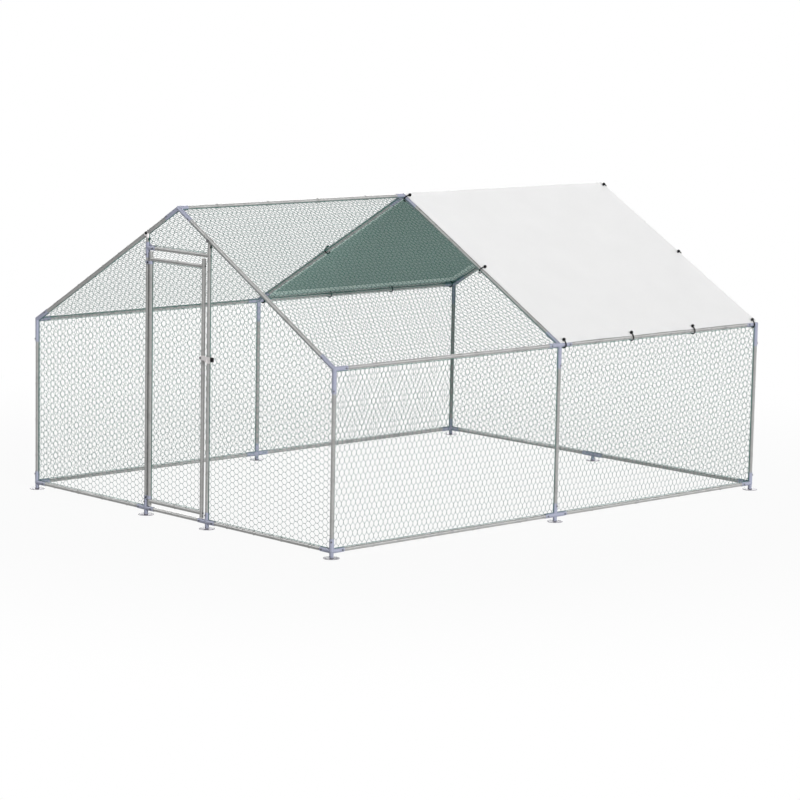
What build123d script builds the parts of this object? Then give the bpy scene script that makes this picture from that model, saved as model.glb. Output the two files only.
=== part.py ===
from build123d import *
import math
import os

# A walk-in poultry coop: a bolted tube frame with two bays, wire netting on every side, a sheet over
# the rear bay of the roof and a netted door with a lift latch. Millimetres, +Z up. The origin is on
# the floor in the middle of the footprint, the door is in the front wall at -Y, the ridge lies along Y.

# Main frame, between the centre lines of the tubes
frame_width = 2940.0
frame_length = 3850.0
eave_height = 1142.0
ridge_height = 1986.0
rail_height = 44.0
door_post_spacing = 610.0
transom_drop = 96.0

# Tube and connector sections
tube_diameter = 25.0
tube_wall = 0.8
sleeve_fit = 0.25
sleeve_wall = 1.9
hub_bulge = 1.0
tube_stop_margin = 5.0
tube_end_gap = 0.5

# Connector arms, from the hub's centre to the mouth of the sleeve
eave_post_arm = 150.0
eave_rafter_arm = 130.0
eave_rail_arm = 100.0
ridge_rafter_arm = 140.0
ridge_tube_arm = 68.0
foot_rail_arm = 95.0
foot_post_arm = 75.0
door_foot_rail_arm = 80.0
door_foot_post_arm = 60.0
tee_side_arm = 80.0
tee_rise = 36.0
tee_drop = 62.0
tee_web_reach = 60.0
tee_web_thickness = 2.5
tee_web_gap = 0.5

# Door post tops: a clamp on the rafter with a stub that a bolt holds in the post
post_rise = 63.0
clamp_length = 36.0
clamp_stub_fit = 0.3
clamp_stub_depth = 35.0
clamp_drop = 10.0
clamp_bolt_flats = 17.0
clamp_bolt_head = 8.0
clamp_bolt_tilt = 12.0
stub_bolt_inset = 10.0
stub_bolt_head = 3.0

# Feet
foot_plate_diameter = 100.0
foot_plate_thickness = 3.0
foot_stub_diameter = 26.0

# Set bolts that hold the tubes in the sleeves
set_bolt_diameter = 6.0
set_bolt_flats = 10.0
set_bolt_head = 4.0
set_bolt_inset = 18.0
bolt_hole_fit = 0.1
seat_gap = 0.1

# Netting: the gaps are drawn wider than the wire mesh so that each panel holds a few hundred of them
net_thickness = 2.0
net_strand = 4.0
net_pitch = 133.0
net_row_pitch = 130.0
net_twist = 66.0
net_clearance = 0.35
net_border = 12.0
net_least_gap = 0.15
net_least_side = 2.0

# Wire ties that lace the netting to the tubes
tie_wire_diameter = 2.0
tie_wire_fit = 0.2
tie_hole_diameter = 3.2
tie_hole_inset = 5.0
tie_tip_radius = 2.2
tie_step = 8.0
tie_fractions = (0.17, 0.39, 0.61, 0.83)
tie_short_edge = 900.0
tie_no_edge = 300.0

# Roof sheet over the rear bay and its ball ties
cover_thickness = 0.5
cover_clearance = 0.35
cover_overhang = 5.0
ball_diameter = 22.0
ball_inset = 16.0
ball_seat = 0.3
loop_diameter = 8.0
loop_edge_fit = 0.2
loop_room = 0.6
loop_end = 8.5
loop_hole_fit = 0.1
eyelet_bore = 11.0
eyelet_wall = 1.0
eyelet_flange = 18.0
eyelet_flange_thickness = 0.6
eyelet_fit = 0.15
eave_tie_inset = 38.0
eave_tie_fractions = (0.35, 0.663)
rafter_tie_fraction = 0.488
ridge_tie_inset = 33.0

# Door: the left stile is the hinge shaft
hinge_gap = 9.0
latch_side_gap = 29.0
stile_foot_rise = 19.0
stile_top_drop = 23.0
door_bottom_rail_rise = 49.0
door_top_rail_drop = 69.0
door_net_hinge_inset = 20.0
hinge_height = 20.0
hinge_grip_fit = 0.15
hinge_running_fit = 0.08
hinge_rail_gap = 0.5
hinge_bolt_diameter = 5.0

# Coped rail ends, each held by a bolt into a plug
cope_gap = 0.1
rail_plug_length = 22.0
rail_plug_fit = 0.15
rail_bolt_diameter = 6.0
rail_bolt_head_diameter = 10.0
rail_bolt_head = 3.2
rail_bolt_grip = 14.0

# Latch on the right stile and its keeper on the right door post
latch_height = 1074.0
latch_collar_height = 28.0
latch_grip_fit = 0.15
latch_standoff = 3.0
latch_gap = 0.3
latch_bar_width = 26.0
latch_bar_thickness = 4.0
latch_bar_overrun = 63.0
latch_pivot_diameter = 8.0
latch_pivot_running_fit = 0.06
latch_pivot_fit = 0.05
latch_boss_diameter = 16.0
latch_pivot_head_diameter = 14.0
latch_pivot_head = 4.0
grip_length = 26.0
grip_height = 28.0
grip_thickness = 8.8
grip_end_wall = 6.0
grip_fit = 0.1
keeper_width = 18.0
keeper_ring_height = 16.0
keeper_ledge = 8.0
keeper_lip = 3.4
keeper_lip_rise = 14.0
keeper_lip_gap = 1.0

# Values worked out from the sizes above
tube_radius = tube_diameter / 2
tube_bore = tube_radius - tube_wall
sleeve_bore = tube_radius + sleeve_fit
sleeve_radius = sleeve_bore + sleeve_wall
hub_radius = sleeve_radius + hub_bulge
tube_stop = sleeve_radius + tube_stop_margin
net_inset = hub_radius + net_clearance
half_width = frame_width / 2
front_y = -frame_length / 2
rear_y = frame_length / 2
frame_rows = {"front": front_y, "mid": 0.0, "rear": rear_y}
sides = {"left": -1, "right": 1}
slope = math.atan2(ridge_height - eave_height, half_width)
door_post_x = door_post_spacing / 2
transom_height = ridge_height - door_post_x * math.tan(slope) - transom_drop
hinge_spacing = tube_diameter + hinge_gap
latch_side_spacing = tube_diameter + latch_side_gap
left_stile_x = -door_post_x + hinge_spacing
right_stile_x = door_post_x - latch_side_spacing
stile_foot = rail_height + stile_foot_rise
stile_top = transom_height - stile_top_drop
door_bottom_rail_height = rail_height + door_bottom_rail_rise
door_top_rail_height = transom_height - door_top_rail_drop
clamp_stub_radius = tube_bore - clamp_stub_fit
right = Vector(1, 0, 0)
back = Vector(0, 1, 0)
up = Vector(0, 0, 1)
cover_bottom = hub_radius + cover_clearance
cover_top = cover_bottom + cover_thickness

nodes = {}


def add(name, *shapes):
    """Put every solid of the shapes into the named node."""
    for shape in shapes:
        nodes.setdefault(name, []).extend(shape.solids())


def rod(start, end, radius):
    """A solid cylinder between two points."""
    axis = end - start
    return Solid.make_cylinder(radius, axis.length, Plane(origin=start, z_dir=axis))


def bored(start, end, outer_radius, bore_radius):
    """A straight tube between two points."""
    reach = (end - start).normalized()
    return rod(start, end, outer_radius) - rod(start - reach, end + reach, bore_radius)


def block(low, high):
    """A box between its lowest and highest corners."""
    size = high - low
    return Solid.make_box(size.X, size.Y, size.Z, Plane(origin=low))


def frame_tube(start, end):
    """A frame tube between two hub centres, stopped short of both hubs."""
    reach = (end - start).normalized()
    return bored(start + reach * tube_stop, end - reach * tube_stop, tube_radius, tube_bore)


def hex_prism(origin, direction, flats, height):
    """A hexagon head that grows from its seat along a direction."""
    outline = RegularPolygon(flats / 2, 6, major_radius=False)
    return extrude(Plane(origin=origin, z_dir=direction) * outline, amount=height)


def set_bolt(point, direction, inner=tube_radius, outer=sleeve_radius,
             flats=set_bolt_flats, head=set_bolt_head):
    """A bolt through a wall, from a point on the axis: its tip presses on what the wall surrounds."""
    tip = point + direction * (inner + seat_gap)
    seat = point + direction * (outer + seat_gap)
    return rod(tip, seat, set_bolt_diameter / 2) + hex_prism(seat, direction, flats, head)


def set_bolt_hole(point, direction, inner=tube_radius):
    """The hole in a wall for a set bolt."""
    radius = set_bolt_diameter / 2 + bolt_hole_fit
    return rod(point + direction * inner, point + direction * hub_radius, radius)


def connector(node, centre, arms, extra=()):
    """A hub with one sleeve per arm. An arm is its direction, its length and its set bolt's side."""
    body = Solid.make_sphere(hub_radius, Plane(origin=centre))
    for direction, length, bolt_side in arms:
        body = body + rod(centre, centre + direction * length, sleeve_radius)
    for shape in extra:
        body = body + shape
    for direction, length, bolt_side in arms:
        floor = centre + direction * (tube_stop - tube_end_gap)
        mouth = centre + direction * (length + 1)
        body = body - rod(floor, mouth, sleeve_bore)
        bolt_point = centre + direction * (length - set_bolt_inset)
        body = body - set_bolt_hole(bolt_point, bolt_side)
        add("connector_bolts", set_bolt(bolt_point, bolt_side))
    add(node, body)


def cope(rail, joint, inward, plug_node, bolt_node):
    """Cut a rail to the upright tube that it meets and add its plug and bolt. Also gives the bolt's hole."""
    rail = rail - rod(joint - up * tube_diameter, joint + up * tube_diameter, tube_radius + cope_gap)
    hole_radius = rail_bolt_diameter / 2 + bolt_hole_fit
    plug_start = joint + inward * (tube_radius + cope_gap)
    plug_end = plug_start + inward * rail_plug_length
    plug = rod(plug_start, plug_end, tube_bore - rail_plug_fit)
    add(plug_node, plug - rod(joint, plug_end + inward, hole_radius))
    head_seat = joint - inward * (tube_radius + seat_gap)
    head = rod(head_seat, head_seat - inward * rail_bolt_head, rail_bolt_head_diameter / 2)
    add(bolt_node, head + rod(head_seat, plug_start + inward * rail_bolt_grip, rail_bolt_diameter / 2))
    return rail, rod(joint - inward * tube_diameter, joint + inward * tube_diameter, hole_radius)


def foot(x, y):
    """The stub and the round plate under a hub that stands on the floor."""
    floor_point = Vector(x, y, 0)
    stub = rod(floor_point, Vector(x, y, rail_height), foot_stub_diameter / 2)
    return stub, rod(floor_point, floor_point + up * foot_plate_thickness, foot_plate_diameter / 2)


def eave_point(side, y):
    """The centre of an eave hub."""
    return Vector(side * half_width, y, eave_height)


def ridge_point(y):
    """The centre of a ridge hub."""
    return Vector(0, y, ridge_height)


def floor_hub(side, y):
    """The centre of a foot hub in a side wall."""
    return Vector(side * half_width, y, rail_height)


def up_slope(side):
    """The direction from an eave to the ridge."""
    return Vector(-side * math.cos(slope), 0, math.sin(slope))


def roof_normal(side):
    """The direction straight out of a roof slope."""
    return Vector(side * math.sin(slope), 0, math.cos(slope))


def rafter_height(x):
    """The height of a rafter's centre line at a place across the frame."""
    return ridge_height - abs(x) * math.tan(slope)


# Posts, rafters and the tubes that run along the coop
for row, y in frame_rows.items():
    for side in sides.values():
        add(f"{row}_posts", frame_tube(floor_hub(side, y), eave_point(side, y)))
        add(f"{row}_rafters", frame_tube(eave_point(side, y), ridge_point(y)))
for start_y, end_y in ((front_y, 0.0), (0.0, rear_y)):
    add("ridge_tubes", frame_tube(ridge_point(start_y), ridge_point(end_y)))
    for side_name, side in sides.items():
        add(f"{side_name}_eave_tubes", frame_tube(eave_point(side, start_y), eave_point(side, end_y)))
        add(f"{side_name}_rails", frame_tube(floor_hub(side, start_y), floor_hub(side, end_y)))

# Bottom rails of the two gables and the door sill
for side in sides.values():
    door_hub = Vector(side * door_post_x, front_y, rail_height)
    add("front_rails", frame_tube(floor_hub(side, front_y), door_hub))
    add("rear_rails", frame_tube(floor_hub(side, rear_y), Vector(0, rear_y, rail_height)))
sill_ends = [Vector(side * door_post_x, front_y, rail_height) for side in (-1, 1)]
add("door_sill", frame_tube(*sill_ends))

# Connectors of the three frames
for row, y in frame_rows.items():
    along = [direction for direction in (back, -back) if abs(y + direction.Y) <= rear_y]
    outward = {"front": -back, "mid": None, "rear": back}[row]
    ridge_arms = []
    for side in sides.values():
        out = right * side
        corner = (out + outward).normalized() if outward else out
        rafter_bolt = outward if outward else -roof_normal(side)
        eave_arms = [(-up, eave_post_arm, corner), (up_slope(side), eave_rafter_arm, rafter_bolt)]
        eave_arms += [(direction, eave_rail_arm, out) for direction in along]
        connector("eave_corners" if outward else "eave_tees", eave_point(side, y), eave_arms)
        ridge_arms.append((-up_slope(side), ridge_rafter_arm, rafter_bolt))
        foot_arms = [(up, foot_post_arm, corner)]
        foot_arms += [(direction, foot_rail_arm, out) for direction in along]
        if outward:
            foot_arms.append((-out, foot_rail_arm, outward))
        foot_node = "corner_feet" if outward else "side_feet"
        connector(foot_node, floor_hub(side, y), foot_arms, foot(side * half_width, y))
    ridge_arms += [(direction, ridge_tube_arm, -up) for direction in along]
    connector("ridge_ends" if outward else "ridge_cross", ridge_point(y), ridge_arms)
connector("rear_foot", Vector(0, rear_y, rail_height),
          [(right, foot_rail_arm, back), (-right, foot_rail_arm, back)], foot(0, rear_y))

# Door posts with their feet, and the clamps that hold their tops to the rafters
door_posts = {}
clamp_bolt_nodes = {"left": "dark_bolts", "right": "connector_bolts"}
for name, side in sides.items():
    x = side * door_post_x
    door_hub = Vector(x, front_y, rail_height)
    door_foot_arms = [(up, door_foot_post_arm, -back)]
    door_foot_arms += [(direction, door_foot_rail_arm, -back) for direction in (right, -right)]
    connector("door_feet", door_hub, door_foot_arms, foot(x, front_y))

    post_top = Vector(x, front_y, transom_height + post_rise)
    stub_bolt_point = post_top - up * stub_bolt_inset
    post = bored(door_hub + up * tube_stop, post_top, tube_radius, tube_bore)
    door_posts[name] = post - set_bolt_hole(stub_bolt_point, right, clamp_stub_radius)
    stub_bolt_sizes = (clamp_stub_radius, tube_radius, clamp_bolt_flats, stub_bolt_head)
    add("dark_bolts", set_bolt(stub_bolt_point, right, *stub_bolt_sizes))

    clamp_centre = Vector(x, front_y, rafter_height(x))
    clamp_reach = [reach * clamp_length / 2 - clamp_drop for reach in (-1, 1)]
    clamp_ends = [clamp_centre + up_slope(side) * reach for reach in clamp_reach]
    stub = rod(post_top - up * clamp_stub_depth, clamp_centre, clamp_stub_radius)
    clamp = rod(*clamp_ends, sleeve_radius) + stub
    rafter_reach = up_slope(side) * clamp_length
    clamp = clamp - rod(clamp_centre - rafter_reach, clamp_centre + rafter_reach, sleeve_bore)
    tilt = math.radians(clamp_bolt_tilt)
    bolt_side = -back * math.cos(tilt) - roof_normal(side) * math.sin(tilt)
    add("rafter_clamps", clamp - set_bolt_hole(clamp_centre, bolt_side))
    clamp_bolt = set_bolt(clamp_centre, bolt_side, flats=clamp_bolt_flats, head=clamp_bolt_head)
    add(clamp_bolt_nodes[name], clamp_bolt)

# Transom: a tee with a web in its corner holds its left end, and its right end is coped to the post
transom_ends = [Vector(side * door_post_x, front_y, transom_height) for side in (-1, 1)]
transom = bored(transom_ends[0] + right * tube_stop, transom_ends[1], tube_radius, tube_bore)
transom, hole = cope(transom, transom_ends[1], -right, "transom_joints", "dark_bolts")
add("transom", transom)
door_posts["right"] = door_posts["right"] - hole
add("door_posts", *door_posts.values())
tee_centre = transom_ends[0]
tee_low = tee_centre - up * tee_drop
tee_high = tee_centre + up * tee_rise
tee_mouth = tee_centre + right * tee_side_arm
web_corners = [tee_centre, tee_centre + right * tee_web_reach]
web_corners += [web_corners[1] + up * tube_radius, tee_high]
web_back = -back * (net_thickness / 2 + tee_web_gap)
web_face = Face(Wire.make_polygon([corner + web_back for corner in web_corners], close=True))
tee = rod(tee_low, tee_high, sleeve_radius) + rod(tee_centre, tee_mouth, sleeve_radius)
tee = tee + Solid.extrude(web_face, -back * tee_web_thickness)
tee = tee - rod(tee_low - up, tee_high + up, sleeve_bore)
tee = tee - rod(tee_centre + right * (tube_stop - tube_end_gap), tee_mouth + right, sleeve_bore)
for point in (tee_mouth - right * set_bolt_inset, tee_low + up * set_bolt_inset):
    tee = tee - set_bolt_hole(point, -back)
    add("connector_bolts", set_bolt(point, -back))
add("transom_joints", tee)

# Ball ties of the roof sheet: where each loop goes round a tube, the way into the sheet, and the roof's normal
ball_ties = []
for side in sides.values():
    for y in (eave_tie_inset, rear_y - eave_tie_inset):
        ball_ties.append((eave_point(side, y), up_slope(side), roof_normal(side)))
    for fraction in eave_tie_fractions:
        point = eave_point(side, rear_y * fraction)
        ball_ties.append((point, up_slope(side), roof_normal(side)))
    for y, inward in ((0.0, back), (rear_y, -back)):
        middle = eave_point(side, y) + (ridge_point(y) - eave_point(side, y)) * rafter_tie_fraction
        ball_ties.append((middle, inward, roof_normal(side)))
for y, inward in ((0.0, back), (rear_y, -back)):
    near_ridge = ridge_point(y) - up_slope(1) * ridge_tie_inset
    ball_ties.append((near_ridge, inward, roof_normal(1)))


# A tie's loop clears the sheet's edge, and two straight legs lead from it to the ball on the sheet
loop_radius = math.hypot(cover_overhang, cover_top) + loop_edge_fit + loop_diameter / 2
ball_height = cover_top + seat_gap + eyelet_flange_thickness + ball_seat + ball_diameter / 2
ball_place = Vector(ball_inset, ball_height, 0)
loop_lean = math.asin(loop_radius / ball_place.length)
loop_legs = [(-ball_place).normalized().rotate(Axis.Z, turn * math.degrees(loop_lean)) for turn in (1, -1)]


def ball_tie():
    """The ball and the elastic cord of a tie round a tube along Z, with the sheet along X and up along Y."""
    ball = Solid.make_sphere(ball_diameter / 2, Plane(origin=ball_place))
    ends = [ball_place + leg * loop_end for leg in loop_legs]
    turns = [ball_place + leg * (ball_place.length * math.cos(loop_lean)) for leg in loop_legs]
    for leg, end in zip(loop_legs, ends):
        hole_radius = loop_diameter / 2 + loop_hole_fit
        ball = ball - rod(end - leg * loop_hole_fit, end + leg * ball_diameter, hole_radius)
    path = Wire([
        Edge.make_line(ends[0], turns[0]),
        Edge.make_three_point_arc(turns[0], ball_place.normalized() * -loop_radius, turns[1]),
        Edge.make_line(turns[1], ends[1]),
    ])
    cord = sweep(Plane(origin=ends[0], z_dir=loop_legs[0]) * Circle(loop_diameter / 2), path)
    return ball, cord


def eyelet_axis(tie):
    """The points on the lower and upper face of the roof sheet where a tie's eyelet sits."""
    point, inward, normal = tie
    drop = ball_height - (cover_bottom + cover_top) / 2
    foot_point = point + inward * (ball_inset - drop * loop_legs[0].X / loop_legs[0].Y)
    return foot_point + normal * cover_bottom, foot_point + normal * cover_top


# The roof sheet, a shallow fold over the ridge
profile = []
for height, order in ((cover_bottom, (-1, 0, 1)), (cover_top, (1, 0, -1))):
    for side in order:
        if side == 0:
            profile.append(Vector(0, -cover_overhang, ridge_height + height / math.cos(slope)))
        else:
            edge = eave_point(side, -cover_overhang) - up_slope(side) * cover_overhang
            profile.append(edge + roof_normal(side) * height)
sheet = Solid.extrude(Face(Wire.make_polygon(profile, close=True)), back * (rear_y + 2 * cover_overhang))
eyelet_radius = eyelet_bore / 2 + eyelet_wall
ball, cord = ball_tie()
for tie in ball_ties:
    low, high = eyelet_axis(tie)
    normal = tie[2]
    sheet = sheet - rod(low - normal, high + normal, eyelet_radius + eyelet_fit)
    flange_foot = high + normal * seat_gap
    flange_top = flange_foot + normal * eyelet_flange_thickness
    eyelet = rod(low, flange_top, eyelet_radius) + rod(flange_foot, flange_top, eyelet_flange / 2)
    add("cover_eyelets", eyelet - rod(low - normal, flange_top + normal, eyelet_bore / 2))
    tie_place = Plane(origin=tie[0], x_dir=tie[1], z_dir=tie[1].cross(normal)).location
    add("tie_balls", tie_place * ball)
    add("tie_loops", tie_place * cord)
add("roof_cover", sheet)


def inset_outline(points, distances):
    """Move each edge of a counter-clockwise convex outline inwards by its own distance."""
    lines = []
    for (x1, y1), (x2, y2), distance in zip(points, points[1:] + points[:1], distances):
        length = math.hypot(x2 - x1, y2 - y1)
        across = ((y1 - y2) / length, (x2 - x1) / length)
        lines.append((*across, across[0] * x1 + across[1] * y1 + distance))
    corners = []
    for (a1, b1, c1), (a2, b2, c2) in zip(lines[-1:] + lines[:-1], lines):
        spread = a1 * b2 - a2 * b1
        corners.append(((c1 * b2 - c2 * b1) / spread, (a1 * c2 - a2 * c1) / spread))
    return corners


def clip_outline(points, window):
    """The part of a convex outline that lies inside a counter-clockwise convex window."""
    for (x1, y1), (x2, y2) in zip(window, window[1:] + window[:1]):
        depths = [(x2 - x1) * (y - y1) - (y2 - y1) * (x - x1) for x, y in points]
        kept = []
        for index, (x, y) in enumerate(points):
            before_x, before_y = points[index - 1]
            before = depths[index - 1]
            if before * depths[index] < 0:
                share = before / (before - depths[index])
                kept.append((before_x + (x - before_x) * share, before_y + (y - before_y) * share))
            if depths[index] >= 0:
                kept.append((x, y))
        points = kept
    return points


def outline_area(points):
    """The area of a counter-clockwise outline."""
    return sum(x1 * y2 - x2 * y1 for (x1, y1), (x2, y2) in zip(points, points[1:] + points[:1])) / 2


def without_short_sides(points):
    """An outline without the corners that lie too near the one before them."""
    pairs = zip(points, points[-1:] + points[:-1])
    return [point for point, before in pairs if math.dist(point, before) > net_least_side]


def hexagon_gap():
    """The gap in one mesh, centred on the origin, with its twisted sides along Y."""
    half = net_pitch / 2
    twist = net_twist / 2
    tip = net_row_pitch - twist
    cell = [(half, -twist), (half, twist), (0, tip), (-half, twist), (-half, -twist), (0, -tip)]
    return inset_outline(cell, [net_strand / 2] * len(cell))


def mesh_gaps(window, twist_along_x):
    """The hexagonal gaps that a panel's window holds, cut off at its border."""
    xs = [x for x, y in window]
    ys = [y for x, y in window]
    centre = ((min(xs) + max(xs)) / 2, (min(ys) + max(ys)) / 2)
    size = (max(xs) - min(xs), max(ys) - min(ys))
    across, along = (size[1], size[0]) if twist_along_x else size
    gap = hexagon_gap()
    gaps = []
    rows = math.ceil(along / net_row_pitch / 2) + 1
    columns = math.ceil(across / net_pitch / 2) + 1
    for row in range(-rows, rows + 1):
        for column in range(-columns, columns + 1):
            shift_across = (column + (row % 2) / 2) * net_pitch
            shift_along = row * net_row_pitch
            placed = [(x + shift_across, y + shift_along) for x, y in gap]
            if twist_along_x:
                placed = [(y, -x) for x, y in placed]
            placed = [(x + centre[0], y + centre[1]) for x, y in placed]
            cut = clip_outline(placed, window)
            if len(cut) > 2 and outline_area(cut) > net_least_gap * outline_area(gap):
                gaps.append(without_short_sides(cut))
    return gaps


def polygon_wire(points):
    """A closed wire in the XY plane."""
    return Wire.make_polygon([Vector(x, y, 0) for x, y in points], close=True)


def wire_tie(reach):
    """A wire loop round a tube along Z at the origin, out to a net hole at a reach along X."""
    ring = tube_radius + tie_wire_fit + tie_wire_diameter / 2
    tip_x = reach - tie_tip_radius
    lean = math.acos((ring - tie_tip_radius) / tip_x)
    high = Vector(math.cos(lean), math.sin(lean), 0)
    low = Vector(math.cos(lean), -math.sin(lean), 0)
    tip_high = Vector(tip_x, 0, 0) + high * tie_tip_radius
    tip_low = Vector(tip_x, 0, 0) + low * tie_tip_radius
    path = Wire([
        Edge.make_line(high * ring, tip_high),
        Edge.make_three_point_arc(tip_high, Vector(reach, 0, 0), tip_low),
        Edge.make_line(tip_low, low * ring),
        Edge.make_three_point_arc(low * ring, Vector(-ring, 0, 0), high * ring),
    ])
    start = Plane(origin=high * ring, z_dir=tip_high - high * ring)
    return sweep(start * Circle(tie_wire_diameter / 2), path)


def net(name, ties_name, corners, twist_along_x, phase, insets=None):
    """A netting panel between tube centre lines, with its ties and the notches for ball ties."""
    first = corners[1] - corners[0]
    plane = Plane(origin=corners[0], x_dir=first, z_dir=first.cross(corners[-1] - corners[0]))
    local = [plane.to_local_coords(corner) for corner in corners]
    axes = [(point.X, point.Y) for point in local]
    insets = insets or [net_inset] * len(axes)
    outline = inset_outline(axes, insets)
    window = inset_outline(axes, [distance + net_border for distance in insets])
    holes = [polygon_wire(gap) for gap in mesh_gaps(window, twist_along_x)]
    gap_count = len(holes)
    for (x1, y1), (x2, y2), distance in zip(axes, axes[1:] + axes[:1], insets):
        start = Vector(x1, y1, 0)
        run = Vector(x2, y2, 0) - start
        if run.length < tie_no_edge:
            continue
        along = run.normalized()
        inward = Vector(-along.Y, along.X, 0)
        reach = distance + tie_hole_inset
        loop = wire_tie(reach)
        for fraction in tie_fractions if run.length > tie_short_edge else (0.5,):
            seat = start + run * fraction + along * (phase * tie_step)
            hole_plane = Plane(origin=seat + inward * reach)
            holes.append(Wire.make_circle(tie_hole_diameter / 2, hole_plane))
            tie_plane = Plane(origin=seat, x_dir=inward, z_dir=along)
            add(ties_name, plane.location * (tie_plane.location * loop))
    sheet_face = Face(polygon_wire(outline), holes)
    low_face = sheet_face.moved(Location((0, 0, -net_thickness / 2)))
    panel = Solid.extrude(low_face, up * net_thickness)
    for point, inward, normal in ball_ties:
        spot = plane.to_local_coords(point)
        if abs(spot.Z) < net_thickness:
            radius = loop_radius + loop_diameter / 2 + loop_room
            low = Vector(spot.X, spot.Y, -net_thickness)
            panel = panel - rod(low, low + up * (2 * net_thickness), radius)
    add(name, plane.location * panel)
    print(name, gap_count, "gaps")


# Netting of the side walls and the roof, one panel per bay
side_phase = {"front": 1, "rear": 2}
roof_phase = {("left", "front"): 3, ("left", "rear"): 4, ("right", "front"): 2, ("right", "rear"): 1}
for bay, (start_y, end_y) in {"front": (front_y, 0.0), "rear": (0.0, rear_y)}.items():
    for side_name, side in sides.items():
        eave = [eave_point(side, start_y), eave_point(side, end_y)]
        wall = [floor_hub(side, start_y), floor_hub(side, end_y), *reversed(eave)]
        net(f"net_{side_name}_{bay}", "net_ties", wall, False, side_phase[bay])
        roof = [*eave, ridge_point(end_y), ridge_point(start_y)]
        net(f"net_roof_{side_name}_{bay}", "net_ties", roof, False, roof_phase[side_name, bay])

# Netting of the two gables
rear_gable = [floor_hub(-1, rear_y), floor_hub(1, rear_y), eave_point(1, rear_y), ridge_point(rear_y)]
rear_gable.append(eave_point(-1, rear_y))
net("net_rear", "net_ties", rear_gable, True, 0)
for side_name, side in sides.items():
    post_foot = Vector(side * door_post_x, front_y, rail_height)
    post_head = Vector(side * door_post_x, front_y, rafter_height(door_post_x))
    panel_corners = [floor_hub(side, front_y), post_foot, post_head, eave_point(side, front_y)]
    if side > 0:
        panel_corners = [post_foot, floor_hub(side, front_y), eave_point(side, front_y), post_head]
    net(f"net_front_{side_name}", "net_ties", panel_corners, True, 0)
post_heads = [Vector(side * door_post_x, front_y, rafter_height(door_post_x)) for side in (1, -1)]
front_top = [*transom_ends, post_heads[0], ridge_point(front_y), post_heads[1]]
net("net_front_top", "net_ties", front_top, True, 0)

# Door frame: two stiles, and rails that are coped to them and held by a bolt into a plug
stile_places = {"left": left_stile_x, "right": right_stile_x}
rail_places = {"bottom": door_bottom_rail_height, "top": door_top_rail_height}
stiles = {}
for name, x in stile_places.items():
    ends = (Vector(x, front_y, stile_foot), Vector(x, front_y, stile_top))
    stiles[name] = bored(*ends, tube_radius, tube_bore)
for rail_name, z in rail_places.items():
    rail_ends = [Vector(x, front_y, z) for x in stile_places.values()]
    rail = bored(*rail_ends, tube_radius, tube_bore)
    for stile_name, x in stile_places.items():
        inward = right if stile_name == "left" else -right
        rail, hole = cope(rail, Vector(x, front_y, z), inward, "door_rail_plugs", "door_bolts")
        stiles[stile_name] = stiles[stile_name] - hole
    add(f"door_{rail_name}_rail", rail)
for name, stile in stiles.items():
    add(f"door_{name}_stile", stile)
door_corners = [Vector(left_stile_x, front_y, door_bottom_rail_height),
                Vector(right_stile_x, front_y, door_bottom_rail_height),
                Vector(right_stile_x, front_y, door_top_rail_height),
                Vector(left_stile_x, front_y, door_top_rail_height)]
door_insets = [net_inset, net_inset, net_inset, door_net_hinge_inset]
net("net_door", "door_net_ties", door_corners, True, 0, door_insets)

# Hinge straps: each grips the left door post and lets the left stile turn in its other eye
rail_reach = tube_radius + hinge_rail_gap
hinge_places = {
    "lower": door_bottom_rail_height + rail_reach,
    "upper": door_top_rail_height - rail_reach - hinge_height,
}
for name, z in hinge_places.items():
    post_axis = Vector(-door_post_x, front_y, z)
    stile_axis = Vector(left_stile_x, front_y, z)
    middle = (post_axis + stile_axis) * 0.5
    outline = SlotCenterToCenter(hinge_spacing, 2 * sleeve_radius)
    strap = extrude(Plane(origin=middle) * outline, amount=hinge_height)
    for axis, fit in ((post_axis, hinge_grip_fit), (stile_axis, hinge_running_fit)):
        strap = strap - rod(axis - up, axis + up * (hinge_height + 1), tube_radius + fit)
    bolt_start = middle + up * (hinge_height / 2) + back * (sleeve_radius + seat_gap)
    bolt_end = bolt_start - back * (2 * (sleeve_radius + seat_gap))
    strap = strap - rod(bolt_start + back, bolt_end - back, hinge_bolt_diameter / 2 + bolt_hole_fit)
    bolt = rod(bolt_start, bolt_end, hinge_bolt_diameter / 2)
    bolt = bolt + hex_prism(bolt_end, -back, set_bolt_flats, set_bolt_head)
    add("dark_bolts", bolt + hex_prism(bolt_start, back, set_bolt_flats, set_bolt_head))
    add(f"{name}_hinge_strap", strap)

# Latch: a bar that lifts about a pivot bolt in a collar on the right stile
pivot = Vector(right_stile_x, front_y, latch_height)
collar_low = pivot - up * (latch_collar_height / 2)
collar_high = pivot + up * (latch_collar_height / 2)
bar_back = sleeve_radius + latch_standoff
boss_end = pivot - back * (bar_back - latch_gap)
collar = rod(collar_low, collar_high, sleeve_radius) + rod(pivot, boss_end, latch_boss_diameter / 2)
collar = collar - rod(collar_low - up, collar_high + up, tube_radius + latch_grip_fit)
collar = collar - rod(pivot, boss_end - back, latch_pivot_diameter / 2 + latch_pivot_fit)
add("latch_collar", collar)
head_seat = pivot - back * (bar_back + latch_bar_thickness + latch_gap)
pivot_bolt = rod(pivot - back * (tube_radius + latch_gap), head_seat, latch_pivot_diameter / 2)
pivot_head = rod(head_seat, head_seat - back * latch_pivot_head, latch_pivot_head_diameter / 2)
add("latch_pivot_bolt", pivot_bolt + pivot_head)

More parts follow.
